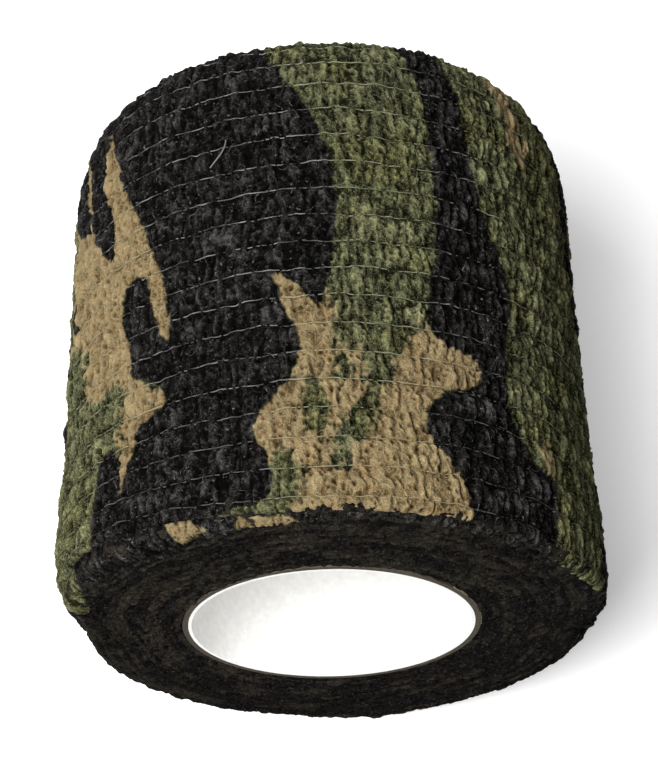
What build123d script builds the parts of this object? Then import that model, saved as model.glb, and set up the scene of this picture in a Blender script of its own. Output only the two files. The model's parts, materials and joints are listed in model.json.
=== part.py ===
from build123d import *
from math import cos, radians, sin
import os

# A roll of cohesive elastic wrap lying on its side. Sizes are in millimetres.
# The roll's axis is +Y, +Z is up, and the origin is the centre of the core's bore.
# Angles about the axis run from +X towards +Z, which is the way the tape winds outwards.

# Driving dimensions
TAPE_WIDTH = 50.0
ROLL_RADIUS = 25.0
BORE_RADIUS = 12.7
LINER_THICKNESS = 0.3
BOARD_THICKNESS = 0.5
PLY_PITCH = 0.55  # from one turn's outer surface to the next
PLY_THICKNESS = 0.5
WEB_THICKNESS = 0.17  # each of the tape's two nonwoven webs
THREAD_DIAMETER = 0.14
THREAD_PITCH = 2.74
THREAD_COUNT = 18
FREE_END_ANGLE = -2.0
TAIL_SEGMENTS = 6
SEGMENT_ANGLE = 8.0
GLUE_THICKNESS = 0.06
GLUE_ANGLE = 40.0  # the arc of the core that is tacked to the tape's inner end
FIT_GAP = 0.02

HALF_TURN = 180.0
FULL_TURN = 360.0

# Derived from the driving dimensions
board_inner = BORE_RADIUS + LINER_THICKNESS + FIT_GAP
board_outer = board_inner + BOARD_THICKNESS
tail_root_angle = FREE_END_ANGLE - TAIL_SEGMENTS * SEGMENT_ANGLE
centre_shift = PLY_PITCH / 4  # the half turns are centred this far to either side of the axis
half_turn_growth = PLY_PITCH / 2
last_radius = ROLL_RADIUS - centre_shift  # the last half turn's outer radius about its own centre
inner_limit = board_outer + GLUE_THICKNESS + PLY_THICKNESS + 2 * centre_shift
half_turns = int((last_radius - inner_limit) / half_turn_growth)
half_turns -= half_turns % 2


def spiral_centre(index):
    """The centre of a half turn, counting back from the free end's half turn as 0."""
    side = 1 if index % 2 == 0 else -1
    shift = side * centre_shift
    return shift * cos(radians(FREE_END_ANGLE)), shift * sin(radians(FREE_END_ANGLE))


def spiral_radius(index):
    """The outer radius of a half turn about its own centre."""
    return last_radius - index * half_turn_growth


def half_turn_start(index):
    """The angle at which a half turn begins, going outwards."""
    return FREE_END_ANGLE - (index + 1) * HALF_TURN


def point_on(index, angle, depth):
    """A point of a half turn, at an angle and a depth below its outer surface, in the XZ plane."""
    x, z = spiral_centre(index)
    radius = spiral_radius(index) - depth
    return x + radius * cos(radians(angle)), z + radius * sin(radians(angle))


def arc_on(index, start, end, depth):
    """The arc of a half turn from one angle to another, at a depth below its outer surface."""
    middle = (start + end) / 2
    return ThreePointArc(*(point_on(index, angle, depth) for angle in (start, middle, end)))


def spiral_edges(stretches, depth):
    """One edge for each (half turn, start, end) stretch, in order, at one depth."""
    return [arc_on(index, start, end, depth) for index, start, end in stretches]


def strip(stretches, top, bottom, width=TAPE_WIDTH):
    """The layer of the tape between two depths, along a chain of stretches, centred on the XZ plane."""
    outer = spiral_edges(stretches, top)
    inner = spiral_edges(stretches, bottom)
    ends = [Line(outer[0] @ 0, inner[0] @ 0), Line(outer[-1] @ 1, inner[-1] @ 1)]
    face = make_face(outer + inner + ends)
    upright = Plane.XZ.offset(width / 2) * face
    return extrude(upright, amount=width, dir=(0, 1, 0))


def thread(stretches, y):
    """One elastic thread, midway through the tape, along a chain of stretches."""
    path = Wire(spiral_edges(stretches, PLY_THICKNESS / 2))
    placed = Plane.XZ.offset(-y) * path
    section = Plane(origin=placed @ 0, z_dir=placed % 0) * Circle(THREAD_DIAMETER / 2)
    return sweep(section, path=placed)


def threads(stretches):
    """The whole row of elastic threads along a chain of stretches."""
    row = (THREAD_COUNT - 1) / 2
    return Compound([thread(stretches, (i - row) * THREAD_PITCH) for i in range(THREAD_COUNT)])


def tube(inner, outer):
    """A plain tube on the roll's axis, as long as the tape is wide."""
    ring = Circle(outer) - Circle(inner)
    return extrude(Plane.XZ.offset(TAPE_WIDTH / 2) * ring, amount=TAPE_WIDTH, dir=(0, 1, 0))


def trimmed(start, end, radius):
    """A stretch's two angles with half of the fitting gap taken off each, at a radius."""
    margin = FIT_GAP / 2 / radius / radians(1)
    return start + margin, end - margin


def core_glue():
    """The tack of glue between the core and the tape's inner end."""
    band = Circle(board_outer + GLUE_THICKNESS - FIT_GAP) - Circle(board_outer + FIT_GAP)
    start = half_turn_start(half_turns - 1) % FULL_TURN
    reach = 2 * board_outer
    corners = [(0, 0)] + [
        (reach * cos(radians(angle)), reach * sin(radians(angle))) for angle in (start, start + GLUE_ANGLE)
    ]
    wedge = make_face(Polyline(*corners, close=True))
    return extrude(Plane.XZ.offset(TAPE_WIDTH / 2) * (band & wedge), amount=TAPE_WIDTH, dir=(0, 1, 0))


def wound_turns():
    """Every turn but the outermost, as one strip."""
    stretches = []
    for index in range(half_turns - 1, 1, -1):
        start = half_turn_start(index)
        stretches.append((index, start, start + HALF_TURN))
    return strip(stretches, 0, PLY_THICKNESS)


def laminate(stretches):
    """The tape's face web, elastic threads and backing web along a chain of stretches."""
    return {
        "face_web": strip(stretches, 0, WEB_THICKNESS),
        "elastic_threads": threads(stretches),
        "backing_web": strip(stretches, PLY_THICKNESS - WEB_THICKNESS, PLY_THICKNESS),
    }


def outer_turn():
    """The outermost turn, up to the first place where the free end lifts."""
    start, end = trimmed(half_turn_start(1), tail_root_angle, ROLL_RADIUS)
    return laminate([(1, start, half_turn_start(0)), (0, half_turn_start(0), end)])


def tail_segment(number):
    """One segment of the free end, counted from 1 at the roll."""
    near = tail_root_angle + (number - 1) * SEGMENT_ANGLE
    return laminate([(0, *trimmed(near, near + SEGMENT_ANGLE, ROLL_RADIUS))])


def nodes():
    """Every sub-part by its node name."""
    parts = {
        "core_liner": tube(BORE_RADIUS, BORE_RADIUS + LINER_THICKNESS),
        "core_board": tube(board_inner, board_outer),
        "core_glue": core_glue(),
        "wound_turns": wound_turns(),
    }
    for name, layer in outer_turn().items():
        parts[f"outer_turn_{name}"] = layer
    for number in range(1, TAIL_SEGMENTS + 1):
        for name, layer in tail_segment(number).items():
            parts[f"tail_{number}_{name}"] = layer
    return parts


os.makedirs("parts", exist_ok=True)
for node, part in nodes().items():
    export_step(part, f"parts/{node}.step")
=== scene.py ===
import bpy
import json
import math
import numpy as np
from mathutils import Matrix, Vector


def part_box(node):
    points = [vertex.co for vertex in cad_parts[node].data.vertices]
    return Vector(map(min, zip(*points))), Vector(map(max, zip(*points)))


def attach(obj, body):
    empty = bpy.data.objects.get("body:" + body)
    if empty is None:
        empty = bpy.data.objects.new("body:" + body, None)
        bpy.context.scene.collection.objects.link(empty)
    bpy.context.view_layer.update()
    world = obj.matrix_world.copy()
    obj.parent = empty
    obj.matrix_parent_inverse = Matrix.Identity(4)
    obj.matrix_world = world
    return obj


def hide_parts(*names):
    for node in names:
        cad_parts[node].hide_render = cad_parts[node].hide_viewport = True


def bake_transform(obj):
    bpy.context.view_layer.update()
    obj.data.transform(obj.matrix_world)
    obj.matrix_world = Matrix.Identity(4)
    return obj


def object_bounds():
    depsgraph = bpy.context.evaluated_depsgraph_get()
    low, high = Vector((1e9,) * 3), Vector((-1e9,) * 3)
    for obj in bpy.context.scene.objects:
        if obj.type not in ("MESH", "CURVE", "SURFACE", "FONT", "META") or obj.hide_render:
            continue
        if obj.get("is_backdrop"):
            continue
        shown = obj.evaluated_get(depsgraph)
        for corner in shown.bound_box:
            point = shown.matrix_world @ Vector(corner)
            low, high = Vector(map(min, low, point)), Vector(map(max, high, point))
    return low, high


# A roll of camouflage cohesive wrap lying on its side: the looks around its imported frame.
# Lengths are in millimetres, or in metres where a name ends in _M. Angles are in degrees.
# "Winding" is the angle along the tape: 0 at the free end and falling towards the core.
# "Across" is the distance over the tape from its near edge. "Around" is the distance along
# the print from the top of the roll, positive to the right.

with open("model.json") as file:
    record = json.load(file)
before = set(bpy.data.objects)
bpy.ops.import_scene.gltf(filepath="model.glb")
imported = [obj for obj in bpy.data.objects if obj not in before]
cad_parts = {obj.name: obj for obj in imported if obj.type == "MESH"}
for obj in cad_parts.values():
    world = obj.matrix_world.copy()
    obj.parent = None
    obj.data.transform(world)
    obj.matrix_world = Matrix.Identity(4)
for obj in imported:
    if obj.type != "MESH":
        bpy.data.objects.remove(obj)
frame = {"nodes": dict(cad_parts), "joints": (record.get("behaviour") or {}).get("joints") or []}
cad_low, cad_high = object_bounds()

MM = 0.001
FULL_TURN = 360.0


def frame_angle(point):
    """The angle about the roll's axis of a point in the frame, from +X towards +Z."""
    return math.degrees(math.atan2(point[2], point[0]))


# Sizes taken from the frame
board_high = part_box("core_board")[1]
near_y = cad_low.y / MM
TAPE_WIDTH = (cad_high.y - cad_low.y) / MM
CORE_RADIUS = board_high.x / MM
hinge_points = [Vector(j["pos_m"]) for j in frame["joints"]]
hinge_angles = [frame_angle(p) for p in hinge_points]
SEGMENT_ANGLE = hinge_angles[1] - hinge_angles[0]
FREE_END_ANGLE = hinge_angles[-1] + SEGMENT_ANGLE
ROLL_RADIUS = round(hinge_points[0].length / MM, 1)
TAIL_ANGLE = SEGMENT_ANGLE * len(hinge_angles)

# The tape
PLY_PITCH = 0.55
PLY_THICKNESS = 0.5
THREAD_COUNT = 18
THREAD_PITCH = 2.74
THREAD_RADIUS = 0.06
FIRST_THREAD = (TAPE_WIDTH - (THREAD_COUNT - 1) * THREAD_PITCH) / 2
PLEAT_PITCH = 1.12
PUFF_HEIGHT = 0.38
TOP_WINDING = 90.0 - FREE_END_ANGLE - FULL_TURN
AROUND_PER_DEGREE = math.radians(1) * ROLL_RADIUS

# The roll's outline in section: a small shoulder at the near end, a slight taper, a big soft far shoulder.
# Each shoulder is a quarter of an ellipse, so long along the axis and so deep.
NEAR_SHOULDER_LONG = 1.5
NEAR_SHOULDER_DEEP = 3.8
FAR_SHOULDER_LONG = 8.3
FAR_SHOULDER_DEEP = 4.7
FAR_TAPER = 0.06
NEAR_TUCK = 1.3  # how much of the outer turn lies over the near shoulder
PROFILE_POINTS = 60
PROFILE_STEP = 0.05

# The near end isn't quite round: (angle, half-width in degrees, reach along the axis, radial shift)
NEAR_DENTS = [(190.0, 19.0, 3.6, -2.0), (351.0, 12.0, 2.5, -1.2), (280.0, 48.0, 0.8, 0.85)]
FLANK_SPREAD = 0.5
FLANK_NEAR, FLANK_FAR = 3.0, 18.0  # the flanks' spread fades out between these places along the axis
SQUARE_ANGLE, SQUARE_WIDTH, SQUARENESS = 280.0, 50.0, 0.85  # where the near shoulder is nearly square

# Smooth steps in how far an edge stands back, each as (size, start, end) in distances around.
# The outer turn's near edge stands back at the left and below, and reaches over at the right.
# The second turn's margin shows past it, by more and more towards the left, and ends beyond the flank.
EDGE_STEPS = [(2.1, -4, -24), (-2.1, -58, -78), (1.2, -34, -46), (-1.1, 14, 26), (1.1, 26, 35), (1.8, 38, 48)]
MARGIN_LEAST = 0.35
MARGIN_STEPS = [(0.75, 2, -3), (0.75, -6, -11), (1.65, -11, -17), (-2.6, -36, -44)]

# The inner turns, as far as they show
MARGIN_WIDTH = 5.5  # the margin of the second turn that is modelled
HIDDEN_RADIUS = CORE_RADIUS + 8.0
FACE_GAP = 0.02
NEAR_FACE_DROP = 0.3  # how far the end faces stop short of the second turn's outside
FAR_FACE_DROP = 0.6
COVERED_SINK = 0.55  # how far the second turn sinks where the outer turn covers it

# How an edge of the tape lies on the turn beneath
EDGE_SINK = 0.22
EDGE_ROUNDING = 0.16
EDGE_CALM = 0.6  # the width over which the relief fades towards an edge

# Meshes
GRID_STEP = 0.13
SECTORS = 6
BACK_ROW_STEP = 16  # the flat underside of a sheet has only every so many rows
THREAD_STEP = 0.24
THREAD_RISE = 0.05
THREAD_SIDES = 6
FIBRE_COUNT = 2200
FIBRE_POINTS = 5
FIBRE_SIDES = 3
FIBRE_RADIUS = 0.017
TINY = 1e-12  # keeps a division from failing

# Lights and stage. Each light has a place and a size in metres, and a power in watts.
KEY_PLACE_M, KEY_SIZE_M, KEY_POWER = (-0.30, -0.27, 0.64), 0.45, 10.4
BORE_PLACE_M, BORE_SIZE_M, BORE_POWER = (0.28, -0.45, 0.28), 0.20, 1.5
BACK_PLACE_M, BACK_SIZE_M, BACK_POWER = (-0.12, 0.55, 0.10), 0.30, 1.3
SURROUND = 0.14  # the surround's strength as the roll sees it
BACKDROP = 0.85  # and as the camera sees it
FLOOR_BOUNCE = 0.30  # how pale the floor is for the light that it throws back on the roll
FLOOR_LIFT = 0.30  # the glow that the camera sees on the floor
FLOOR_SIZE_M = 3.0


# ---- noise

def hashed(ix, iy, seed):
    """Repeatable random numbers from 0 to 1 for whole grid points."""
    n = ix.astype(np.int64) * 374761393 + iy.astype(np.int64) * 668265263 + seed * 1274126177
    n = (n ^ (n >> 13)) * 1103515245
    n = n ^ (n >> 16)
    return (n & 0xFFFFF) / float(0xFFFFF)


def smooth(x):
    return x * x * (3 - 2 * x)


def ramp(x, low, high):
    """A smooth step from 0 at low to 1 at high. With low above high it steps down."""
    return smooth(np.clip((x - low) / (high - low), 0, 1))


def noise(x, y, seed):
    """Smooth noise from -1 to 1 with features about one unit across."""
    x, y = np.broadcast_arrays(np.asarray(x, float), np.asarray(y, float))
    ix, iy = np.floor(x), np.floor(y)
    fx, fy = smooth(x - ix), smooth(y - iy)
    low = hashed(ix, iy, seed) * (1 - fx) + hashed(ix + 1, iy, seed) * fx
    high = hashed(ix, iy + 1, seed) * (1 - fx) + hashed(ix + 1, iy + 1, seed) * fx
    return 2 * (low * (1 - fy) + high * fy) - 1


# ---- where the tape lies

def section_profile():
    """The roll's outline in section, as distance along it, place along the axis and radius."""
    turn = np.linspace(0, np.pi / 2, PROFILE_POINTS)
    near_y_part = NEAR_SHOULDER_LONG * (1 - np.sin(turn))[::-1]
    near_drop = NEAR_SHOULDER_DEEP * (1 - np.cos(turn))[::-1]
    straight = np.linspace(NEAR_SHOULDER_LONG, TAPE_WIDTH - FAR_SHOULDER_LONG, PROFILE_POINTS)[1:-1]
    far_y_part = TAPE_WIDTH - FAR_SHOULDER_LONG * (1 - np.sin(turn))
    far_drop = FAR_SHOULDER_DEEP * (1 - np.cos(turn))
    y = np.concatenate([near_y_part, straight, far_y_part])
    drop = np.concatenate([near_drop, np.zeros_like(straight), far_drop])
    radius = ROLL_RADIUS * (1 - FAR_TAPER * y / TAPE_WIDTH) - drop
    along = np.concatenate([[0], np.cumsum(np.hypot(np.diff(y), np.diff(radius)))])
    return along, y, radius


PROFILE_ALONG, PROFILE_Y, PROFILE_RADIUS = section_profile()
SHOULDER_LENGTH = float(np.interp(NEAR_SHOULDER_LONG, PROFILE_Y, PROFILE_ALONG))


def on_profile(across):
    """Place along the axis, radius and outward normal at a distance across the tape."""
    along = SHOULDER_LENGTH - NEAR_TUCK + across
    y = np.interp(along, PROFILE_ALONG, PROFILE_Y)
    radius = np.interp(along, PROFILE_ALONG, PROFILE_RADIUS)
    before, after = along - PROFILE_STEP, along + PROFILE_STEP
    dy = np.interp(after, PROFILE_ALONG, PROFILE_Y) - np.interp(before, PROFILE_ALONG, PROFILE_Y)
    dr = np.interp(after, PROFILE_ALONG, PROFILE_RADIUS) - np.interp(before, PROFILE_ALONG, PROFILE_RADIUS)
    size = np.hypot(dy, dr) + TINY
    return y, radius, -dr / size, dy / size


def swell_at(angle, centre, width):
    """A soft bump from 0 to 1 around an angle."""
    away = (angle - centre + FULL_TURN / 2) % FULL_TURN - FULL_TURN / 2
    return np.exp(-((away / width) ** 2))


def out_of_round(r, angle, y):
    """The radius with the near end dented at its lower corners, and let out below and at the flanks."""
    shift = 0.0
    for centre, width, reach, size in NEAR_DENTS:
        shift = shift + size * swell_at(angle, centre, width) * np.exp(-((y / reach) ** 2))
    flank = FLANK_SPREAD * np.cos(np.radians(angle)) ** 4 * ramp(y, FLANK_FAR, FLANK_NEAR)
    return r + (shift + flank) * ramp(r, CORE_RADIUS + 2, ROLL_RADIUS - 5)


def place(winding, across, lift):
    """Points in the frame, in metres, on the tape wound up as it lies on the roll."""
    y, radius, normal_y, normal_r = on_profile(across)
    ply_radius = ROLL_RADIUS + PLY_PITCH * winding / FULL_TURN
    share = (ply_radius - CORE_RADIUS) / (ROLL_RADIUS - CORE_RADIUS)
    y = y + lift * normal_y
    angle = FREE_END_ANGLE + winding
    r = out_of_round(CORE_RADIUS + (radius - CORE_RADIUS) * share + lift * normal_r, angle, y)
    turn = np.radians(angle)
    return np.stack([r * np.cos(turn), near_y + y, r * np.sin(turn)], -1) * MM


def around(winding):
    """Distance along the print from the top of the roll's outer turn."""
    return (TOP_WINDING - winding) * AROUND_PER_DEGREE


def stepped(p, steps):
    """The sum of smooth steps around the roll."""
    return sum(size * ramp(p, start, end) for size, start, end in steps)


def edge_shift(p):
    """How far the outer turn's near edge stands back from its usual place."""
    return stepped(p, EDGE_STEPS) + 0.08 * noise(p / 3.0, 0, 31) + 0.04 * noise(p / 0.9, 0, 32)


def margin_edge(p):
    """Where the second turn's near edge lies, across from the outer turn's usual edge."""
    return edge_shift(p) - MARGIN_LEAST - stepped(p, MARGIN_STEPS)


# ---- the tape's relief

def row_wander(p, t):
    """How far the pinched rows, and the threads in them, stray from straight lines, in rows."""
    return 0.05 * noise(p / 3.1, t / 5.0, 1)


def contour(field, width):
    """A narrow ridge along the line where a noise field passes through zero."""
    return np.exp(-((field / width) ** 2))


def pinholes(p, t, spacing, share, seed):
    """Depth from 0 to 1 of scattered pinholes, and of the raised lips around them."""
    column, line = p / spacing[0], t / spacing[1]
    column_index, line_index = np.floor(column), np.floor(line)
    draws = [hashed(column_index, line_index, seed + k) for k in range(4)]
    from_p = (column - column_index - 0.2 - 0.6 * draws[0]) * spacing[0]
    from_t = (line - line_index - 0.2 - 0.6 * draws[1]) * spacing[1]
    radius = 0.10 + 0.10 * draws[2]
    away = np.hypot(from_p, from_t * 0.8)
    there = draws[3] < share
    return np.exp(-((away / radius) ** 3)) * there, np.exp(-(((away - 1.9 * radius) / 0.10) ** 2)) * there


def pleats(p, t, row, seed):
    """The number of each point's pleat, and the height of its ridge from 0 to 1."""
    row_index = np.floor(row)
    pleat = p / PLEAT_PITCH + 0.6 * noise(p / 5.0, row * 0.3, seed + 2)
    pleat = pleat + 0.40 * noise(p / 1.6, row * 0.9, seed + 3)
    pleat = pleat + 0.38 * hashed(row_index, row_index * 0, seed + 4)
    pleat = pleat + 0.34 * noise(p / 0.8, t / 0.9, seed + 14)
    pleat_index = np.floor(pleat)
    return pleat_index, np.sin(np.pi * (pleat - pleat_index)) ** 0.55


def relief(p, t, seed=0):
    """Height of the crinkled web over the tape's smooth surface, its tone from 0 to 1, and its pinholes. The
    tone holds the fibres' own paler curls and crumbs, with painted light on the puffs and lips and painted
    shade in the hollows, valleys and pinched rows.
    """
    p, t = np.broadcast_arrays(np.asarray(p, float), np.asarray(t, float))
    row = (t - FIRST_THREAD) / THREAD_PITCH + row_wander(p, t)
    row_index = np.floor(row)
    pinch = np.sin(np.pi * (row - row_index)) ** 0.45
    pleat_index, ridge = pleats(p, t, row, seed)
    size = 0.35 + hashed(pleat_index, row_index, seed + 5)
    puff = size * (0.25 + 0.75 * ridge) * (0.16 + 0.84 * pinch)
    pit, lip = pinholes(p, t, (1.25, 1.6), 0.75, seed + 6)
    small_pit, small_lip = pinholes(p + 0.4, t + 0.7, (0.85, 1.05), 0.35, seed + 26)
    pit, lip = np.maximum(pit, small_pit), np.maximum(lip, small_lip)
    curl = contour(noise(p / 0.72, t / 1.05, seed + 10), 0.20)
    fine_curl = contour(noise(p / 0.40, t / 0.58, seed + 15), 0.26)
    crumb = noise(p / 0.27, t / 0.33, seed + 11)
    hollow = ramp(noise(p / 0.62, t / 0.85, seed + 17), 0.1, 0.6)
    swell = noise(p / 6.0, t / 5.0, seed + 12) * 0.10 + noise(p / 2.3, t / 2.6, seed + 13) * 0.08
    patchy = 0.5 + 0.5 * noise(p / 1.7, t / 1.9, seed + 16)
    # Painted light and shade: puffs and pinhole lips are made lighter, and hollows, pleat valleys and pinched
    # rows darker.
    tone_and_shade = 0.12 + 0.36 * puff + 0.36 * curl * (0.25 + 0.75 * patchy) + 0.20 * fine_curl + 0.12 * crumb
    tone_and_shade = tone_and_shade - 0.24 * hollow - 0.26 * (1 - ridge) ** 2 - 0.10 * (1 - pinch) ** 2 + 0.10 * lip
    height = PUFF_HEIGHT * (puff - 0.5) + 0.09 * curl + 0.06 * fine_curl + 0.05 * crumb
    height = height - 0.08 * hollow - 0.10 * (1 - ridge) + 0.04 * lip - 0.26 * pit + swell
    return height, np.clip(tone_and_shade, 0, 1), pit


# ---- the print

# Outlines of the camouflage on the outer turn, as (around, across from the near end) points.
BLACK_PATCHES = {
    "wide_left": [
        (-24.5, 52), (-7.5, 52), (-6.2, 47.5), (-4.6, 45), (-3.3, 43), (-1.8, 40.5), (-0.4, 37.5),
        (0.4, 34.5), (0.9, 31), (0.8, 28), (0.4, 25), (-0.1, 22), (-1.1, 20.1), (-2.2, 21.3), (-3.6, 22.8),
        (-5, 23.4), (-4.6, 21.6), (-4.1, 19.8), (-3.2, 18.2), (-2.6, 16.6), (-2.8, 15), (-3.5, 13),
        (-4.8, 11.6), (-6.1, 10.2), (-6.6, 8.6), (-6.3, 7), (-5.5, 5.6), (-5.2, 3.2), (-6, 1.6),
        (-10, 0.8), (-14, -2), (-25, -2), (-24.9, 4), (-24.6, 8), (-24, 10.3), (-22.6, 10.8), (-21.6, 9.6),
        (-21.2, 8), (-21, 6), (-20.4, 7.6), (-19.4, 9.2), (-18.9, 11), (-17.6, 12), (-16, 12.4),
        (-15.8, 13.4), (-17.2, 15), (-19.2, 16), (-20, 17.6), (-20.5, 20), (-21.6, 22.6), (-21.8, 24.6),
        (-20.9, 26.5), (-19.4, 26.6), (-18.2, 25.3), (-17.3, 22.6), (-16.5, 20), (-15.6, 19.2),
        (-15.6, 21.6), (-16.2, 24.6), (-17, 27), (-18.2, 29.8), (-19.6, 32.6), (-21, 35.2), (-22.4, 37.4),
        (-23.4, 40), (-24.2, 42.2), (-25.1, 43.8), (-26, 46), (-26.4, 49),
    ],
    "left_finger": [
        (-30.5, 50), (-26.6, 50), (-25.9, 46), (-25.4, 43), (-25.5, 40), (-25.3, 37.6), (-24.3, 35.4),
        (-23.5, 32.8), (-23.7, 30.2), (-25, 31), (-26.6, 32.8), (-28.2, 35), (-28.6, 38), (-29.4, 41),
        (-30.6, 45),
    ],
    "far_left_streak": [
        (-38, 50), (-32.3, 47), (-31.2, 43), (-30.3, 39.5), (-29.2, 37.4), (-28.2, 36.2), (-30.2, 35.6),
        (-32, 36.4), (-34.5, 38.5), (-38, 41),
    ],
    "left_low": [(-35, 30.5), (-33.4, 29.6), (-31.2, 25.8), (-32.4, 26.2), (-34, 28), (-36, 28.6)],
    "right_band": [
        (8.2, 52), (12.9, 52), (13, 47), (13.7, 44), (14.3, 41.5), (14.6, 38.5), (15, 35.5), (15.6, 33),
        (16.6, 30.2), (17.8, 27.4), (18.4, 25), (18.4, 22), (17.9, 19.5), (17.5, 16.6), (17.4, 14),
        (18, 11.6), (19, 9.4), (20.6, 7.6), (22.4, 7.2), (23.2, 6), (22.8, 4), (22.6, 1.5), (23, -2),
        (12.8, -2), (12.6, 1), (12, 3.6), (10.9, 5.1), (9.8, 6.2), (8.8, 7.6), (8.5, 9.3), (8.9, 10.7),
        (10, 11.8), (11.6, 12.7), (13.2, 13.3), (14.3, 14.3), (14.1, 15.7), (13.1, 16.5), (11.6, 16.7),
        (10.3, 17.1), (9.3, 18.4), (9.1, 20.4), (9.6, 23), (10.2, 26), (10.5, 30), (10.4, 34), (10.3, 38),
        (10, 41), (9.2, 43.6), (8.4, 46.5),
    ],
    "right_low": [(34.4, -3), (33.6, 1), (34.4, 4.5), (36.5, 8), (44, 12), (44, -3)],
    "right_flank": [
        (30.6, 50), (30.4, 44), (31, 38), (31.6, 33), (33, 28), (34.4, 24), (38, 22), (44, 30), (42, 50),
    ],
}
TAN_PATCHES = {
    "left": [
        (-39, 36), (-34, 38), (-33, 43), (-32.5, 47), (-28.6, 48), (-25, 48), (-23, 44), (-22, 38),
        (-17, 28), (-15, 19), (-16, 18.6), (-19, 16), (-15, 13.6), (-16, 11.6), (-18.2, 11), (-20, 7),
        (-21, 5.6), (-21.6, 8), (-21.2, 10.6), (-21.1, 13.2), (-21, 15.6), (-21.8, 16.8), (-23.6, 16.7),
        (-25, 16.6), (-26.8, 17.2), (-28.2, 18), (-27.6, 19.4), (-28.2, 21), (-27.8, 22.4), (-29.6, 23.6),
        (-31.6, 25.2), (-34, 26), (-39, 30),
    ],
    "centre": [
        (-6, 24.6), (-2.4, 22), (-0.3, 20.6), (0.1, 18), (0.1, 16.2), (1.3, 15.6), (2.6, 15.4),
        (2.9, 13.4), (3.2, 11.4), (4.2, 10.6), (5, 12), (5.7, 13.6), (6.2, 15.2), (7.1, 16.6), (8.2, 18),
        (9.8, 18.4), (16, 18), (16, 12), (9.8, 11), (9.6, 8), (14, 4), (14, -2), (-2.6, -2), (-2.4, 2.4),
        (-2.6, 4.6), (-3.4, 6.1), (-4.9, 6.4), (-5.6, 5), (-8, 6), (-8, 11), (-3, 14), (-3.6, 18),
    ],
    "far_sliver": [
        (18.9, 48.4), (21.2, 48), (22.1, 45), (23, 42.4), (22.7, 39.6), (21.3, 39.4), (20.4, 41.4),
        (20.2, 43.8), (19.4, 46),
    ],
    "low_right_spot": [(21.6, 9.6), (23, 9.8), (22.8, 7.6), (21.8, 8)],
}
GREEN_SPOTS = {
    "upper": [(-2.3, 12.7), (-1.1, 12.7), (0, 11.2), (-0.1, 9.2), (-0.8, 7.7), (-2.2, 8.2), (-2.5, 10.4)],
    "lower": [
        (1, 9.4), (2.2, 10.2), (3, 11.8), (4.6, 11.6), (4.2, 9.6), (3.5, 7.6), (2.4, 6.2), (1.7, 4.4),
        (0.4, 4.2), (-0.1, 6.4), (0.4, 8),
    ],
    "small": [(0, 14.8), (1.8, 15), (2.1, 13), (0.5, 12.6)],
}
# The turn beneath shows past the outer turn's near edge at the left.
SECOND_TURN_TAN = {
    "spot": [
        (-15.9, 1.7), (-14.9, 1.4), (-13.6, 1.5), (-12.6, 0.8), (-11.8, 0.2), (-12.8, -0.2), (-14, -0.7),
        (-15.1, -1), (-15.3, 0.2),
    ],
    "strip": [(-9, 0.6), (-7, 0.6), (-4, 0.35), (-3.4, -0.8), (-8.6, -0.7)],
}
SECOND_TURN_BLACK = {"margin": [(-27, 7), (39, 7), (39, -4), (-30, -4), (-29, 1)]}
NOWHERE = 9.0  # a depth outside every patch


def curved(points, cuts=5):
    """A closed smooth curve through the given points."""
    p = np.array(points, float)
    before, after, later = np.roll(p, 1, 0), np.roll(p, -1, 0), np.roll(p, -2, 0)
    out = []
    for k in range(cuts):
        u = k / cuts
        out.append(
            0.5 * (2 * p + (after - before) * u + (2 * before - 5 * p + 4 * after - later) * u**2
                   + (3 * p - before - 3 * after + later) * u**3)
        )
    return np.stack(out, 1).reshape(-1, 2)


def inside_depth(points, p, t):
    """Distance in from a closed outline, negative outside it."""
    a = curved(points)
    b = np.roll(a, -1, 0)
    nearest = np.full(p.shape, np.inf)
    crossings = np.zeros(p.shape, int)
    for (ax, ay), (bx, by) in zip(a, b):
        dx, dy = bx - ax, by - ay
        share = np.clip(((p - ax) * dx + (t - ay) * dy) / (dx * dx + dy * dy + TINY), 0, 1)
        nearest = np.minimum(nearest, np.hypot(p - ax - share * dx, t - ay - share * dy))
        spans = (ay > t) != (by > t)
        if spans.any():
            crossings += spans & (p < ax + (t - ay) * dx / dy)
    return np.where(crossings % 2 == 1, nearest, -nearest)


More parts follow.
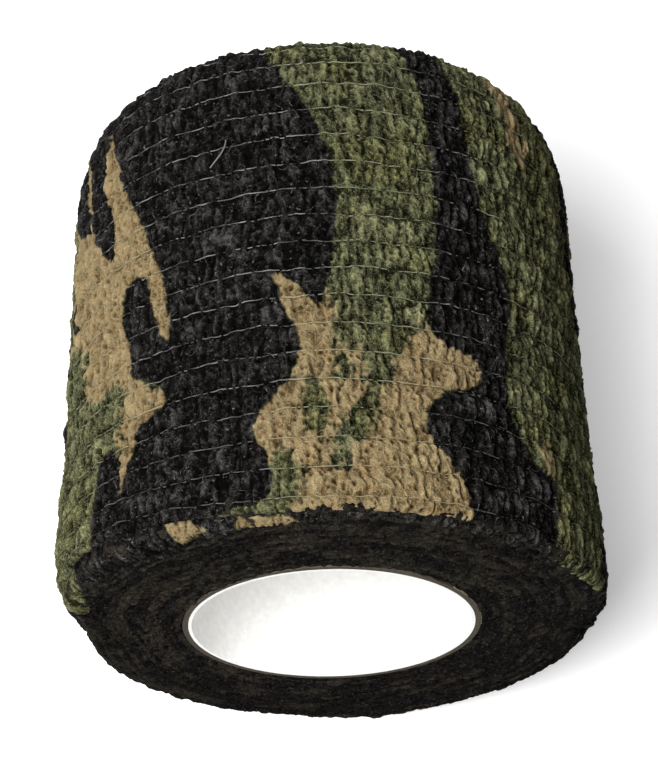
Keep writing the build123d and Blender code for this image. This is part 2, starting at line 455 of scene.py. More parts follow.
class Print:
    """Depths inside the black and the tan of one turn's print, looked up on a coarse grid."""

    STEP = 0.25
    REACH = 40.0

    def __init__(self, black, tan, green, tan_on_top=False):
        self.p = np.arange(-self.REACH, self.REACH + self.STEP, self.STEP)
        self.t = np.arange(-4.0, TAPE_WIDTH + 2, self.STEP)
        grid_p, grid_t = np.meshgrid(self.p, self.t, indexing="ij")
        tan_depth = self.deepest(tan, grid_p, grid_t)
        black_depth = self.deepest(black, grid_p, grid_t)
        self.black = np.minimum(black_depth, -tan_depth) if tan_on_top else black_depth
        self.tan = np.minimum(tan_depth, -self.deepest(green, grid_p, grid_t))

    @staticmethod
    def deepest(patches, p, t):
        depth = np.full(p.shape, -NOWHERE)
        for points in patches.values():
            depth = np.maximum(depth, inside_depth(points, p, t))
        return depth

    def look_up(self, field, p, t):
        x = np.clip((p - self.p[0]) / self.STEP, 0, len(self.p) - 2)
        y = np.clip((t - self.t[0]) / self.STEP, 0, len(self.t) - 2)
        ix, iy = x.astype(int), y.astype(int)
        fx, fy = x - ix, y - iy
        low = field[ix, iy] * (1 - fx) + field[ix + 1, iy] * fx
        high = field[ix, iy + 1] * (1 - fx) + field[ix + 1, iy + 1] * fx
        return low * (1 - fy) + high * fy

    def weights(self, p, t, tone_and_shade):
        """Shares of black and of tan ink. Green shows in the valleys, so tan gives way to it there first.

        Past the drawn part, noise of the same scale takes over, and the near margin is black.
        """
        beyond = ramp(np.abs(p), 34, 39)
        far_black = 7 * noise(p / 11 + 3.3, t / 21, 41) + 3 * noise(p / 4.5, t / 7, 42) - 0.6
        far_black = far_black + 9 * (1 - ramp(t, 1.0, 4.0))
        far_tan = 6 * noise(p / 9 + 7.7, t / 14, 43) + 3 * noise(p / 4, t / 5, 44) - 2.6
        ragged = 0.20 * noise(p / 0.9, t / 0.9, 45) + 0.16 * noise(p / 0.35, t / 0.4, 46)
        black = self.look_up(self.black, p, t) * (1 - beyond) + far_black * beyond + ragged
        tan = self.look_up(self.tan, p, t) * (1 - beyond) + far_tan * beyond + ragged
        black = ramp(black, -0.12, 0.12)
        return black, ramp(tan + 1.7 * (tone_and_shade - 0.34), -0.45, 0.45) * (1 - black)


OUTER_PRINT = Print(BLACK_PATCHES, TAN_PATCHES, GREEN_SPOTS)
SECOND_PRINT = Print(SECOND_TURN_BLACK, SECOND_TURN_TAN, {}, tan_on_top=True)


# ---- mesh making

def new_object(name, points, faces, material, attribute=None, flat_from=None):
    """An object from points, in metres, and faces. Faces from index flat_from on are shaded flat."""
    mesh = bpy.data.meshes.new(name)
    mesh.from_pydata(points.tolist(), [], faces)
    mesh.update()
    if attribute is not None:
        layer = mesh.attributes.new("print", "FLOAT_COLOR", "POINT")
        layer.data.foreach_set("color", attribute.astype(np.float32).ravel())
    mesh.materials.append(material)
    rounded = np.arange(len(faces)) < (len(faces) if flat_from is None else flat_from)
    mesh.polygons.foreach_set("use_smooth", rounded)
    piece = bpy.data.objects.new(name, mesh)
    bpy.context.scene.collection.objects.link(piece)
    return piece


def set_normals(piece, faces, normals):
    """Gives the corners of the first faces, which are quads, these point normals.

    A surface that goes on in another piece then shows no seam.
    """
    mesh = piece.data
    corners = np.zeros((len(mesh.loops), 3))
    corners[:4 * len(faces)] = normals.reshape(-1, 3)[np.array(faces).ravel()]
    mesh.normals_split_custom_set(corners.tolist())


def grid_normals(points):
    """Outward normals of a grid of points, worked out with the neighbours on every side."""
    normals = np.cross(np.gradient(points, axis=1), np.gradient(points, axis=0))
    return normals / (np.linalg.norm(normals, axis=2, keepdims=True) + TINY)


def grid_faces(rows, columns, first=0, flip=False, ring=False, band=False):
    """Quads over a grid of points stored row by row. A ring closes the rows, a band the columns."""
    row_count = rows if ring else rows - 1
    column_count = columns if band else columns - 1
    i, j = np.meshgrid(np.arange(row_count), np.arange(column_count), indexing="ij")
    i, j = i.ravel(), j.ravel()
    next_i, next_j = (i + 1) % rows, (j + 1) % columns
    corners = [i * columns + j, i * columns + next_j, next_i * columns + next_j, next_i * columns + j]
    return (np.stack(corners[::-1] if flip else corners, 1) + first).tolist()


def sheet_walls(rows, columns, marks):
    """The edge faces between a closed sheet's top grid and its bottom grid of marked rows."""
    first = rows * columns
    faces = []
    for k in range(len(marks) - 1):
        for column, flip in ((0, False), (columns - 1, True)):
            top = [i * columns + column for i in range(marks[k], marks[k + 1] + 1)]
            wall = top + [first + (k + 1) * columns + column, first + k * columns + column]
            faces.append(wall[::-1] if flip else wall)
    for row, bottom_row, flip in ((0, 0, True), (rows - 1, len(marks) - 1, False)):
        top, bottom = row * columns, first + bottom_row * columns
        for j in range(columns - 1):
            quad = [top + j, top + j + 1, bottom + j + 1, bottom + j]
            faces.append(quad[::-1] if flip else quad)
    return faces


def closed_sheet(name, top, bottom, marks, material, colours, normals):
    """A closed sheet from a top grid and a bottom grid on the marked rows."""
    rows, columns = top.shape[:2]
    top_faces = grid_faces(rows, columns)
    faces = top_faces + grid_faces(len(marks), columns, rows * columns, flip=True)
    flat_from = len(faces)
    faces += sheet_walls(rows, columns, marks)
    points = np.concatenate([top.reshape(-1, 3), bottom.reshape(-1, 3)])
    piece = new_object(name, points, faces, material, colours, flat_from)
    set_normals(piece, top_faces, normals)
    return piece


def as_colours(black, tan, tone_and_shade, pit):
    """The mesh attribute that the wrap's materials read."""
    return np.stack(np.broadcast_arrays(black, tan, tone_and_shade, pit), -1)


def tubes(paths, radii, sides):
    """Points and faces of closed tubes along (tubes, points, 3) paths in metres. Radii are in millimetres."""
    count, length = paths.shape[:2]
    ahead = np.gradient(paths, axis=1)
    ahead /= np.linalg.norm(ahead, axis=2, keepdims=True) + TINY
    side = np.cross(ahead, np.array([0.31, 0.87, 0.38]))
    side /= np.linalg.norm(side, axis=2, keepdims=True) + TINY
    other = np.cross(ahead, side)
    turn = (np.arange(sides) * math.tau / sides)[None, None, :, None]
    ring = side[:, :, None] * np.cos(turn) + other[:, :, None] * np.sin(turn)
    points = paths[:, :, None] + ring * (radii * MM)[:, :, None, None]
    quads = np.array([[a, d, c, b] for a, b, c, d in grid_faces(length, sides, band=True)])
    cap = list(range(sides))
    faces = []
    for k in range(count):
        first = k * length * sides
        last = first + (length - 1) * sides
        faces += (quads + first).tolist()
        faces += [[first + c for c in cap[::-1]], [last + c for c in cap]]
    return points.reshape(-1, 3), faces


# ---- the tape's outer turn and free end

def settle(t):
    """How far the tape's long edges sink towards the turn beneath, and round over."""
    from_edge = np.minimum(t, TAPE_WIDTH - t)
    inside = np.clip(1 - from_edge / EDGE_ROUNDING, 0, 1)
    return EDGE_SINK * np.exp(-from_edge / 1.0) + EDGE_ROUNDING * (1 - np.sqrt(1 - inside**2))


def lay(p, t):
    """Where the outer turn's point t millimetres from its near edge lies across the roll."""
    return t + edge_shift(p) * np.exp(-t / 4.0)


def tape_sheet(name, start, end, fine_back=False):
    """A closed length of the outer turn between two windings."""
    rows = max(3, int(round((end - start) * AROUND_PER_DEGREE / GRID_STEP)) + 1)
    columns = int(round(TAPE_WIDTH / GRID_STEP)) + 1
    step = (end - start) / (rows - 1)
    winding = start + step * np.arange(-1, rows + 1)[:, None]
    t = np.linspace(0, TAPE_WIDTH, columns)[None, :]
    p = around(winding)
    height, tone_and_shade, pit = relief(p, t)
    from_edge = np.minimum(t, TAPE_WIDTH - t)
    height = height * (0.4 + 0.6 * ramp(from_edge, 0, EDGE_CALM))
    sway = 0.07 * noise(p / 0.8, t / 1.2, 21)
    slide = 0.07 * noise(p / 0.8, t / 1.2, 22) * ramp(from_edge, 0, EDGE_CALM)
    top = place(winding + sway / AROUND_PER_DEGREE, lay(p, t) + slide, height - settle(t))
    colours = as_colours(*OUTER_PRINT.weights(p, lay(p, t), tone_and_shade), tone_and_shade, pit)
    if fine_back:
        marks = list(range(rows))
        height, tone_and_shade, pit = relief(p, t, seed=100)
        rise = 0.4 * height
    else:
        marks = sorted(set(range(0, rows - 1, BACK_ROW_STEP)) | {rows - 1})
        rise = 0 * height
    bottom = place(winding + 0 * t, lay(p, t), -PLY_THICKNESS - np.minimum(settle(t), EDGE_SINK) - rise)
    back_colours = as_colours(*OUTER_PRINT.weights(p, lay(p, t), tone_and_shade), tone_and_shade, pit)
    marked = np.array(marks) + 1
    all_colours = np.concatenate([colours[1:-1].reshape(-1, 4), back_colours[marked].reshape(-1, 4)])
    return closed_sheet(name, top[1:-1], bottom[marked], marks, WRAP, all_colours, grid_normals(top)[1:-1])


def thread_row(name, start, end):
    """The elastic threads between two windings, sunk in the tape's pinched rows."""
    steps = max(3, int(round((end - start) * AROUND_PER_DEGREE / THREAD_STEP)) + 1)
    winding = np.linspace(start, end, steps)[None, :]
    row = np.arange(THREAD_COUNT)[:, None]
    p = around(winding)
    t = FIRST_THREAD + row * THREAD_PITCH
    t = t - THREAD_PITCH * row_wander(p, t)
    height, tone_and_shade, _ = relief(p, t)
    black, tan = OUTER_PRINT.weights(p, lay(p, t), tone_and_shade)
    wave = 0.08 * noise(p / 1.25, row * 3.7, 51) + 0.04 * noise(p / 0.5, row * 1.3, 52)
    rise = THREAD_RISE + 0.05 * noise(p / 1.4, row * 5.1, 53) - 0.03 * ramp(p, 8, 18)
    level = height.copy()
    level[:, 1:-1] = (height[:, :-2] + height[:, 1:-1] + height[:, 2:]) / 3
    paths = place(winding + 0 * t, lay(p, t) + wave, level + rise - settle(t))
    radii = THREAD_RADIUS * (0.85 + 0.15 * noise(p / 0.9, row * 2.2, 54))
    points, faces = tubes(paths, radii, THREAD_SIDES)
    shine = (0.5 + 0.5 * noise(p / 0.8, row * 4.1, 55)) * (0.6 + 0.4 * ramp(t, 4, 16))
    colours = np.repeat(as_colours(black, tan, shine, 0.0)[:, :, None], THREAD_SIDES, axis=2)
    return new_object(name, points, faces, THREAD, colours)


def outer_turn():
    """The outermost turn up to where the free end first lifts, in sectors, with its threads."""
    end = -TAIL_ANGLE - SEGMENT_ANGLE / 2
    cuts = np.linspace(end - FULL_TURN, end, SECTORS + 1)
    for k in range(SECTORS):
        wrap = tape_sheet(f"outer_turn_wrap_{k + 1}", cuts[k], cuts[k + 1])
        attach(wrap, "roll")
        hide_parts("outer_turn_face_web", "outer_turn_backing_web")
    threads = thread_row("outer_turn_threads", end - FULL_TURN, end)
    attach(threads, "roll")
    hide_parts("outer_turn_elastic_threads")


def tail():
    """The free end: one piece of tape and threads across each hinge, and a last one to the cut edge."""
    count = len(hinge_angles)
    bodies = ["roll"] + [f"tail_{i + 1}" for i in range(count)]
    for k in range(count + 1):
        start = -TAIL_ANGLE + (k - 0.5) * SEGMENT_ANGLE
        end = min(start + SEGMENT_ANGLE, 0.0)
        wrap = tape_sheet(f"tail_wrap_{k + 1}", start, end, fine_back=True)
        threads = thread_row(f"tail_threads_{k + 1}", start, end)
        for piece, material_slot in ((wrap, "printed_wrap"), (threads, "elastic_thread")):
            if k == count:
                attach(piece, bodies[k])
            else:
                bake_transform(piece)
        if k < count:
            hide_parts(f"tail_{k + 1}_face_web", f"tail_{k + 1}_backing_web")
            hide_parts(f"tail_{k + 1}_elastic_threads")


# ---- the turns beneath

def second_turn_edge():
    """The near margin of the turn beneath, which shows where the outer turn's edge stands back."""
    start = -TAIL_ANGLE - SEGMENT_ANGLE / 2 - 2 * FULL_TURN
    rows = int(round(FULL_TURN * AROUND_PER_DEGREE / (1.2 * GRID_STEP))) + 1
    columns = int(round(MARGIN_WIDTH / GRID_STEP)) + 1
    winding = np.linspace(start, start + FULL_TURN, rows)[:, None]
    inward = np.linspace(0, MARGIN_WIDTH, columns)[None, :]
    p = around(winding + FULL_TURN)
    t = margin_edge(p) + inward
    height, tone_and_shade, pit = relief(p, t, seed=200)
    covered = COVERED_SINK * ramp(t - edge_shift(p), 0.25, 1.1)
    sink = EDGE_SINK * np.exp(-inward / 0.5) + covered
    top = place(winding + 0 * t, t, 0.18 + 0.6 * height - sink)
    colours = as_colours(*SECOND_PRINT.weights(p, t, tone_and_shade), tone_and_shade, pit)
    marks = sorted(set(range(0, rows - 1, BACK_ROW_STEP)) | {rows - 1})
    bottom = place(winding + 0 * t, t, -PLY_THICKNESS - covered)
    all_colours = np.concatenate([colours.reshape(-1, 4), colours[marks].reshape(-1, 4)])
    normals = grid_normals(top)
    piece = closed_sheet("second_turn_edge", top, bottom[marks], marks, WRAP, all_colours, normals)
    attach(piece, "roll")


def ragged_rim(cos, sin, seed):
    """How far the rim of an end face strays outwards, at points around the roll."""
    x, z = ROLL_RADIUS * cos, ROLL_RADIUS * sin
    return 0.30 * (noise(x / 1.3, z / 1.3, seed + 10) + 0.6 * noise(x / 4.0, z / 4.0, seed + 11))


def ply_fuzz(x, z, r, p, turns_in, seed):
    """How far the fuzzy ply edges stand out, and their tone from 0 to 1, lighter where they stand out and
    darker where they sink: the grain's own tone with painted light and shade.
    """
    ply = np.floor(turns_in)
    ridge = np.sin(np.pi * (turns_in - ply)) ** 0.6
    stand = 0.09 * noise(p / 9.0, ply, seed) + 0.05 * noise(p / 1.4, ply, seed + 1)
    streak = noise(p / 0.8, r / 0.17, seed + 2)
    crumb = noise(x / 0.26, z / 0.26, seed + 3)
    lumps = noise(x / 0.6, z / 0.6, seed + 4)
    swell = 0.10 * noise(x / 5.0, z / 5.0, seed + 5)
    out = stand + 0.04 * ridge + 0.03 * streak + 0.09 * crumb + 0.10 * lumps + swell - 0.10
    return out, np.clip(0.42 + 0.34 * crumb + 0.20 * streak + 0.14 * lumps, 0, 1)


def ply_print_and_shade(x, z, p, ply, seed):
    """Shares of black and tan on the ply edges. The added black at the right and below is painted shade."""
    black = noise(p / 6.0, ply * 0.9, seed + 6) + 0.5 * noise(p / 1.5, ply * 1.7, seed + 7)
    # Painted shade: black grows towards the right and below, where the end faces are darker in shade.
    black = black + 0.5 * noise(x / 1.6, z / 1.6, seed + 12) + 0.6 * ramp(x - z, -4, 24)
    black = ramp(black, -0.4, 0.5)
    tan = noise(p / 4.0, ply * 1.1, seed + 8) + 0.4 * noise(p / 1.2, ply * 2.3, seed + 9)
    return black, ramp(tan, 0.0, 0.6) * (1 - black)


def end_of_turns(name, outer_radius, rest, facing, seed):
    """Half of the wound turns, closed, with their ply edges as a fuzzy face. facing is 1 for the near end."""
    steps = int(round(math.tau * ROLL_RADIUS / (GRID_STEP * 1.3)))
    rings = int(round((outer_radius - CORE_RADIUS) / (GRID_STEP * 0.85))) + 1
    angle = np.linspace(0, FULL_TURN, steps, endpoint=False)[:, None]
    r = np.linspace(CORE_RADIUS + FACE_GAP, outer_radius, rings)[None, :]
    turns_in = (ROLL_RADIUS - r) / PLY_PITCH + (angle - FREE_END_ANGLE) / FULL_TURN
    ply = np.floor(turns_in)
    p = around(angle - FREE_END_ANGLE - (ply + 1) * FULL_TURN)
    cos, sin = np.cos(np.radians(angle)), np.sin(np.radians(angle))
    r = r + ragged_rim(cos, sin, seed) * ramp(r, outer_radius - 1.5, outer_radius)
    depth = rest(r, angle)
    if facing > 0:
        r = out_of_round(r, angle, depth)
    x, z = r * cos, r * sin
    out, tone_and_shade = ply_fuzz(x, z, r, p, turns_in, seed)
    face = np.stack([x, near_y + depth - facing * out, z], -1)
    half_way = near_y + TAPE_WIDTH / 2 + 0 * angle
    back = [np.concatenate([q * cos, half_way, q * sin], 1) for q in (HIDDEN_RADIUS, CORE_RADIUS + FACE_GAP)]
    points = np.concatenate([face, np.stack(back, 1)], 1)
    colours = np.zeros(points.shape[:2] + (4,))
    colours[:, :rings] = as_colours(*ply_print_and_shade(x, z, p, ply, seed), tone_and_shade, 0.0)
    faces = grid_faces(steps, rings + 2, flip=facing < 0, ring=True, band=True)
    piece = new_object(name, points.reshape(-1, 3) * MM, faces, PLY_EDGES, colours)
    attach(piece, "roll")
    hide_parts("wound_turns")


def near_face_rest(r, angle):
    """Where the near end lies: flat, then rounded back over the shoulder, which is squarer below."""
    over = np.clip((r - ROLL_RADIUS + PLY_PITCH + NEAR_SHOULDER_DEEP) / NEAR_SHOULDER_DEEP, 0, 1)
    square = SQUARENESS * swell_at(angle, SQUARE_ANGLE, SQUARE_WIDTH)
    return NEAR_SHOULDER_LONG * (1 - np.sqrt(1 - over**2)) * (1 - square)


def far_face_rest(r, angle):
    """Where the far end lies: flat, then rounded forward into the far shoulder."""
    start = ROLL_RADIUS * (1 - FAR_TAPER) - PLY_PITCH - FAR_SHOULDER_DEEP
    over = np.clip((r - start) / FAR_SHOULDER_DEEP, 0, 1)
    return TAPE_WIDTH - FAR_SHOULDER_LONG * (1 - np.sqrt(1 - over**2))


def inner_turns():
    """Both ends of the wound turns. Nothing else of the inner turns shows."""
    second_turn_edge()
    end_of_turns("near_ply_edges", ROLL_RADIUS - PLY_PITCH - NEAR_FACE_DROP, near_face_rest, 1, 300)
    far_radius = ROLL_RADIUS * (1 - FAR_TAPER) - PLY_PITCH - FAR_FACE_DROP
    end_of_turns("far_ply_edges", far_radius, far_face_rest, -1, 400)


# ---- loose fibres

def loose_fibres():
    """Short fibres that stand off the wrap and blur its outline. None lie on the free end or under it."""
    rng = np.random.default_rng(11)
    one_each = (FIBRE_COUNT, 1)
    winding = rng.uniform(2.0 - FULL_TURN, -TAIL_ANGLE - SEGMENT_ANGLE, one_each)
    t = rng.uniform(0.3, TAPE_WIDTH - 0.3, one_each)
    long = rng.uniform(0.35, 1.2, one_each)
    lean = rng.uniform(0, math.tau, one_each)
    bend = rng.uniform(-2.6, 2.6, one_each)
    rise = rng.uniform(0.10, 0.60, one_each)
    u = np.linspace(0, 1, FIBRE_POINTS)[None, :]
    heading = lean + bend * u
    step = long / (FIBRE_POINTS - 1)
    dp = np.cumsum(np.cos(heading) * step, 1)
    dt = np.cumsum(np.sin(heading) * step, 1)
    height, tone_and_shade, _ = relief(around(winding), t)
    black, tan = OUTER_PRINT.weights(around(winding), t, tone_and_shade)
    lift = height - 0.02 + rise * long * u * (1.2 - u)
    paths = place(winding + dp / AROUND_PER_DEGREE, t + dt, lift)
    points, faces = tubes(paths, FIBRE_RADIUS * (1.15 - u) + 0 * lift, FIBRE_SIDES)
    shine = rng.uniform(0.0, 0.9, one_each)
    colours = np.repeat(as_colours(black, tan, shine, 0.0), FIBRE_POINTS * FIBRE_SIDES, axis=1)
    piece = new_object("loose_fibres", points, faces, THREAD, colours)
    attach(piece, "roll")


def stray_thread():
    """One broken thread end that curls up from the wide black patch, as (around, across, lift) points."""
    bends = np.array([
        (-9.6, 38.1, 0.05), (-9.45, 37.6, 0.4), (-9.55, 37.0, 0.5),
        (-9.95, 36.4, 0.45), (-10.6, 35.9, 0.3), (-11.2, 35.5, 0.1),
    ])
    u = np.linspace(0, len(bends) - 1, 25)
    p, t, lift = (np.interp(u, np.arange(len(bends)), bends[:, k]) for k in range(3))
    paths = place(TOP_WINDING - p / AROUND_PER_DEGREE, t + NEAR_TUCK - NEAR_SHOULDER_LONG, lift)[None]
    points, faces = tubes(paths, np.full((1, len(u)), THREAD_RADIUS), THREAD_SIDES)
    colours = np.tile([1.0, 0.0, 0.8, 0.0], (len(points), 1))
    piece = new_object("stray_thread", points, faces, THREAD, colours)
    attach(piece, "roll")


# ---- materials

class Nodes:
    """A short way to build a material's node tree."""

    def __init__(self, name):
        self.material = bpy.data.materials.new(name)
        self.material.use_nodes = True
        self.tree = self.material.node_tree
        self.shader = self.tree.nodes["Principled BSDF"]

    def add(self, kind, **settings):
        node = self.tree.nodes.new(kind)
        for key, value in settings.items():
            setattr(node, key, value)
        return node

    def link(self, source, target):
        self.tree.links.new(source, target)

    def feed(self, target, value):
        if isinstance(value, bpy.types.NodeSocket):
            self.link(value, target)
        else:
            target.default_value = value

    def math(self, operation, a, b=0.0):
        node = self.add("ShaderNodeMath", operation=operation)
        self.feed(node.inputs[0], a)
        self.feed(node.inputs[1], b)
        return node.outputs[0]

    def add_up(self, *terms):
        """The sum of (value, weight) pairs."""
        total = 0.0
        for value, weight in terms:
            total = self.math("ADD", self.math("MULTIPLY", value, weight), total)
        return total

    def ramp(self, value, low, high, out_low=0.0, out_high=1.0):
        node = self.add("ShaderNodeMapRange")
        names = ("Value", "From Min", "From Max", "To Min", "To Max")
        for name, given in zip(names, (value, low, high, out_low, out_high)):
            self.feed(node.inputs[name], given)
        return node.outputs[0]

    def mix(self, share, a, b, blend="MIX"):
        node = self.add("ShaderNodeMix", data_type="RGBA", blend_type=blend)
        self.feed(node.inputs[0], share)
        for target, value in ((node.inputs[6], a), (node.inputs[7], b)):
            self.feed(target, value if isinstance(value, bpy.types.NodeSocket) else (*value, 1.0))
        return node.outputs[2]

    def noise(self, size, detail=2.0, stretch=(1, 1, 1), rough=0.5, distort=0.0):
        """Noise in the object's own space with features about size millimetres across."""
        where = self.add("ShaderNodeTexCoord")
        scaled = self.add("ShaderNodeMapping")
        scaled.inputs["Scale"].default_value = [s / (size * MM) for s in stretch]
        self.link(where.outputs["Object"], scaled.inputs["Vector"])
        node = self.add("ShaderNodeTexNoise")
        node.inputs["Scale"].default_value = 1.0
        node.inputs["Detail"].default_value = detail
        node.inputs["Roughness"].default_value = rough
        node.inputs["Distortion"].default_value = distort
        self.link(scaled.outputs[0], node.inputs["Vector"])
        return node.outputs["Fac"]

    def strands(self, size, width):
        """Thin wandering lines, 1 on a line and 0 between, like matted fibres."""
        field = self.noise(size, 1.0, distort=0.6)
        return self.ramp(self.math("ABSOLUTE", self.math("SUBTRACT", field, 0.5)), 0.0, width, 1.0, 0.0)

    def print_attribute(self):
        """The black, tan, tone with painted light and shade, and pit values stored on the mesh."""
        read = self.add("ShaderNodeAttribute", attribute_name="print")
        parts = self.add("ShaderNodeSeparateColor")
        self.link(read.outputs["Color"], parts.inputs[0])
        return (*parts.outputs, read.outputs["Alpha"])

    def bump(self, height, strength, distance):
        """Adds a bump of distance millimetres."""
        node = self.add("ShaderNodeBump")
        node.inputs["Strength"].default_value = strength
        node.inputs["Distance"].default_value = distance * MM
        self.link(height, node.inputs["Height"])
        self.link(node.outputs[0], self.shader.inputs["Normal"])

    def finish(self, colour, roughness, specular):
        self.feed(self.shader.inputs["Base Color"], colour)
        self.feed(self.shader.inputs["Roughness"], roughness)
        self.shader.inputs["Specular IOR Level"].default_value = specular
        return self.material


BLACK_LOW, BLACK_HIGH = (0.0020, 0.0018, 0.0017), (0.108, 0.101, 0.094)
GREEN_LOW, GREEN_HIGH = (0.0055, 0.0066, 0.0025), (0.340, 0.348, 0.178)
TAN_LOW, TAN_HIGH = (0.115, 0.074, 0.030), (0.470, 0.366, 0.196)


def wrap_material():
    """Crinkled nonwoven, printed in camouflage: three inks, pinholes, matted fibres and painted pale glints,
    with painted light and shade that follow the relief.
    """
    n = Nodes("printed_wrap")
    black, tan, tone_and_shade, pit = n.print_attribute()
    coarse = n.strands(0.42, 0.08)
    fine = n.strands(0.20, 0.12)
    grain = n.noise(0.15, 3.0, rough=0.75)
    blotch = n.noise(0.9, 2.0)
    drift = n.noise(6.0, 2.0)
    light = n.add_up((tone_and_shade, 0.95), (coarse, 0.28), (fine, 0.32), (grain, 0.80))
    light = n.math("ADD", light, n.ramp(blotch, 0.3, 0.7, -0.16, 0.0))
    light = n.ramp(light, 0.52, 1.50)
    green = n.mix(n.math("POWER", light, 1.5), GREEN_LOW, GREEN_HIGH)
    green = n.mix(n.ramp(drift, 0.48, 0.62, 0.0, 0.45), green, (1.0, 0.92, 0.62), "MULTIPLY")
    sand = n.mix(n.math("POWER", light, 0.6), TAN_LOW, TAN_HIGH)
    rust = n.ramp(n.noise(0.7, 2.0, stretch=(1, 0.6, 1)), 0.55, 0.72, 0.0, 0.5)
    sand = n.mix(rust, sand, (1.0, 0.74, 0.52), "MULTIPLY")
    ink = n.mix(n.math("POWER", light, 2.9), BLACK_LOW, BLACK_HIGH)
    colour = n.mix(black, n.mix(tan, green, sand), ink)
    # Painted shade: the colour is darkened towards brown in the pinholes.
    colour = n.mix(n.math("MULTIPLY", pit, 0.9), colour, (0.18, 0.13, 0.08), "MULTIPLY")
    # Painted highlights: pale specks are mixed into the colour as glints.
    glints = n.ramp(n.noise(0.36, 1.0, distort=0.5), 0.69, 0.78, 0.0, 0.50)
    colour = n.mix(glints, colour, (0.30, 0.29, 0.27))
    n.bump(n.add_up((coarse, 0.6), (fine, 0.5), (grain, 0.8)), 0.9, 0.18)
    return n.finish(colour, n.ramp(grain, 0.3, 0.7, 0.75, 1.0), specular=0.03)


def thread_material():
    """Thin elastic thread: pale over black, and taking up the print over the other inks."""
    n = Nodes("elastic_thread")
    black, tan, shine, _ = n.print_attribute()
    bare = n.mix(n.math("POWER", shine, 1.6), (0.020, 0.019, 0.019), (0.24, 0.235, 0.225))
    inked = n.mix(tan, (0.105, 0.110, 0.056), (0.25, 0.195, 0.10))
    colour = n.mix(black, n.mix(n.math("MULTIPLY", shine, 0.75), inked, (0.32, 0.32, 0.23)), bare)
    n.bump(n.noise(0.06, 2.0), 0.3, 0.02)
    return n.finish(colour, 0.55, specular=0.3)


def ply_edge_material():
    """The edges of the wound plies: dark matted fibre, flecked with the print's colours. The colours are kept
    darker still as painted shade for the end faces.
    """
    n = Nodes("ply_edges")
    black, tan, tone_and_shade, _ = n.print_attribute()
    grain = n.noise(0.15, 3.0, rough=0.8)
    fine = n.strands(0.24, 0.10)
    # Partly painted shade: these colours sit far below the inks' own, standing in for the shade on the end
    # faces.
    colour = n.mix(tan, (0.052, 0.048, 0.037), (0.066, 0.052, 0.042))
    colour = n.mix(black, colour, (0.019, 0.0172, 0.0165))
    light = n.add_up((tone_and_shade, 0.6), (grain, 1.3), (fine, 0.3))
    # Painted shade: the colour darkens where tone and grain are low, in the hollows between the fibre ends.
    colour = n.mix(n.ramp(light, 0.70, 1.35, 1.0, 0.0), colour, (0.08, 0.07, 0.07), "MULTIPLY")
    flecks = n.ramp(n.noise(0.22, 1.0, distort=0.5), 0.60, 0.78, 0.0, 0.45)
    colour = n.mix(flecks, colour, (0.15, 0.125, 0.10))
    n.bump(n.add_up((grain, 1.0), (fine, 0.5)), 1.0, 0.16)
    return n.finish(colour, 0.98, specular=0.02)


def board_material():
    """Grey-brown paperboard."""
    n = Nodes("core_paperboard")
    pulp = n.noise(0.5, 4.0, rough=0.65)
    colour = n.mix(n.ramp(pulp, 0.3, 0.7), (0.060, 0.050, 0.038), (0.115, 0.098, 0.074))
    n.bump(n.noise(0.12, 3.0), 0.4, 0.05)
    return n.finish(colour, 0.85, specular=0.1)


def liner_material():
    """White paper with faint pulp shading, slightly soiled."""
    n = Nodes("core_liner_paper")
    pulp = n.noise(0.7, 4.0, rough=0.6)
    colour = n.mix(n.ramp(pulp, 0.3, 0.7), (0.80, 0.79, 0.77), (0.90, 0.90, 0.88))
    colour = n.mix(n.ramp(n.noise(7.0, 2.0), 0.55, 0.8, 0.0, 0.12), colour, (0.62, 0.58, 0.50))
    n.bump(n.noise(0.15, 3.0), 0.3, 0.04)
    return n.finish(colour, 0.75, specular=0.2)


def glue_material():
    """A smear of yellowish glue."""
    n = Nodes("glue")
    colour = n.mix(n.noise(1.2, 3.0), (0.40, 0.33, 0.20), (0.55, 0.48, 0.33))
    n.bump(n.noise(0.6, 2.0), 0.4, 0.05)
    return n.finish(colour, 0.35, specular=0.5)


WRAP = wrap_material()
THREAD = thread_material()
PLY_EDGES = ply_edge_material()


def core():
    """The core's own CAD pieces, finished in paper, board and glue."""
    finishes = {
        "core_board": board_material(),
        "core_liner": liner_material(),
        "core_glue": glue_material(),
    }
    for node, material in finishes.items():
        piece = frame["nodes"][node]
        piece.data.materials.clear()
        piece.data.materials.append(material)


# ---- stage, lights and camera

# The camera's place is counted from the centre of the near end.
CAMERA_BACK = 3.883 * ROLL_RADIUS
CAMERA_UP = 9.733 * ROLL_RADIUS
CAMERA_SIDE = -0.142 * ROLL_RADIUS
CAMERA_PITCH = 63.47
CAMERA_YAW = -0.80
CAMERA_ROLL = -0.94
LENS = 135.2
SENSOR_WIDTH = 36.0
CLIP_START_M, CLIP_END_M = 0.01, 10.0


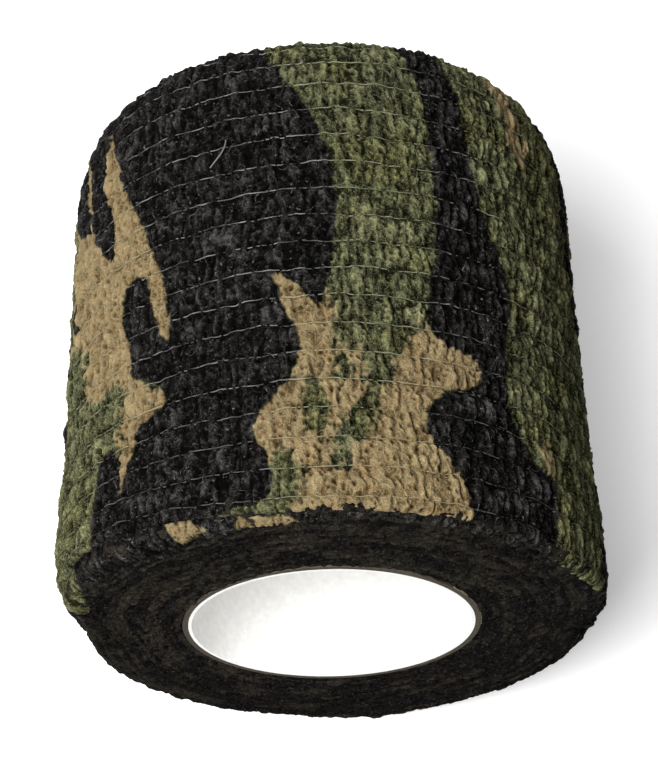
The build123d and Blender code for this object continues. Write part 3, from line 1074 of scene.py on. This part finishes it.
def floor():
    """A plain pale floor just under the roll. The camera sees it paler than the roll does."""
    low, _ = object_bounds()
    n = Nodes("floor")
    n.bump(n.noise(2.0, 2.0), 0.05, 0.05)
    seen = n.add("ShaderNodeLightPath").outputs["Is Camera Ray"]
    pale = n.mix(n.noise(400.0, 2.0), (0.86, 0.86, 0.86), (0.90, 0.90, 0.90))
    material = n.finish(n.mix(seen, (FLOOR_BOUNCE,) * 3, pale), 0.7, specular=0.1)
    n.shader.inputs["Emission Color"].default_value = (1, 1, 1, 1)
    n.feed(n.shader.inputs["Emission Strength"], n.math("MULTIPLY", seen, FLOOR_LIFT))
    mesh = bpy.data.meshes.new("floor")
    h = FLOOR_SIZE_M / 2
    corners = [(-h, -h, low.z), (h, -h, low.z), (h, h, low.z), (-h, h, low.z)]
    mesh.from_pydata(corners, [], [(0, 1, 2, 3)])
    mesh.materials.append(material)
    plane = bpy.data.objects.new("floor", mesh)
    bpy.context.scene.collection.objects.link(plane)
    plane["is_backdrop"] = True


def area_light(name, place_m, power, size_m):
    """A square soft light that points at the roll."""
    light = bpy.data.lights.new(name, "AREA")
    light.energy = power
    light.size = size_m
    lamp = bpy.data.objects.new(name, light)
    lamp.location = place_m
    lamp.rotation_mode = "QUATERNION"
    lamp.rotation_quaternion = (-Vector(place_m)).to_track_quat("-Z", "Y")
    bpy.context.scene.collection.objects.link(lamp)
    return lamp


def lights():
    """Soft light from above, a light that only the liner takes, and a weak light behind."""
    area_light("key", KEY_PLACE_M, KEY_POWER, KEY_SIZE_M)
    bore = area_light("bore", BORE_PLACE_M, BORE_POWER, BORE_SIZE_M)
    lit = bpy.data.collections.new("lit_by_bore")
    lit.objects.link(frame["nodes"]["core_liner"])
    bore.light_linking.receiver_collection = lit
    area_light("back", BACK_PLACE_M, BACK_POWER, BACK_SIZE_M)


def surround():
    """An even dim surround, which the camera sees as a pale backdrop."""
    world = bpy.data.worlds.new("surround")
    world.use_nodes = True
    tree = world.node_tree
    background = tree.nodes["Background"]
    background.inputs["Color"].default_value = (1, 1, 1, 1)
    strength = tree.nodes.new("ShaderNodeMapRange")
    strength.inputs["To Min"].default_value = SURROUND
    strength.inputs["To Max"].default_value = BACKDROP
    seen = tree.nodes.new("ShaderNodeLightPath").outputs["Is Camera Ray"]
    tree.links.new(seen, strength.inputs["Value"])
    tree.links.new(strength.outputs[0], background.inputs["Strength"])
    bpy.context.scene.world = world
    bpy.context.scene.view_settings.view_transform = "Standard"


def camera():
    """A long lens, high over the near end, looking down at the roll."""
    data = bpy.data.cameras.new("camera")
    data.sensor_fit = "AUTO"
    data.sensor_width = SENSOR_WIDTH
    data.lens = LENS
    data.clip_start = CLIP_START_M
    data.clip_end = CLIP_END_M
    eye = bpy.data.objects.new("camera", data)
    pitch = math.radians(CAMERA_PITCH)
    back = Vector((0, -math.cos(pitch), math.sin(pitch)))
    right = Vector((1, 0, 0))
    up = back.cross(right)
    yaw = Matrix.Rotation(math.radians(CAMERA_YAW), 3, up)
    back, right = yaw @ back, yaw @ right
    roll = Matrix.Rotation(math.radians(CAMERA_ROLL), 3, back)
    right, up = roll @ right, roll @ up
    spot = Vector((CAMERA_SIDE, near_y - CAMERA_BACK, CAMERA_UP)) * MM
    turn = Matrix((right, up, back)).transposed().to_4x4()
    eye.matrix_world = Matrix.Translation(spot) @ turn
    bpy.context.scene.collection.objects.link(eye)
    bpy.context.scene.camera = eye


outer_turn()
tail()
inner_turns()
loose_fibres()
stray_thread()
core()
floor()
lights()
surround()
camera()
